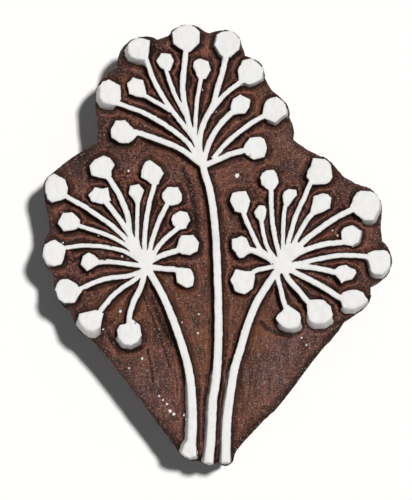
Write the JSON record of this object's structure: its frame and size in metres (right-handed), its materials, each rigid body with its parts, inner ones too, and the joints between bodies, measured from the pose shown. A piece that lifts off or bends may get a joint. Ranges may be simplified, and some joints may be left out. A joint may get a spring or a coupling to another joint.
{
  "type": "wooden printing stamp",
  "caption": "Hand-carved wooden printing block with a raised pattern of flower heads on stems, pressed on cloth or paper by the handle on its back.",
  "frame": {"origin": "middle of the block's outline in plan, at the height of the handle face that the stamp rests on", "axes": "+Z out of the printing face, which is turned up; +Y from the stems' feet to the flower heads; +X to the right as the printing face is looked at"},
  "size_m": [0.088, 0.111, 0.0405],
  "materials": {
    "block_wood": "oiled, gouged and stained dark",
    "white_paint": "brushed matt paint",
    "handle_wood": "hand-worn, lightly oiled",
    "glue": "dried amber glue",
    "screw_steel": "dull steel"
  },
  "bodies": {
    "root": {"printing_block": "block_wood", "left_flower_coat": "white_paint", "middle_flower_coat": "white_paint", "right_flower_coat": "white_paint", "handle": "handle_wood", "glue_line": "glue", "handle_screws": "screw_steel"}
  },
  "joints": []
}
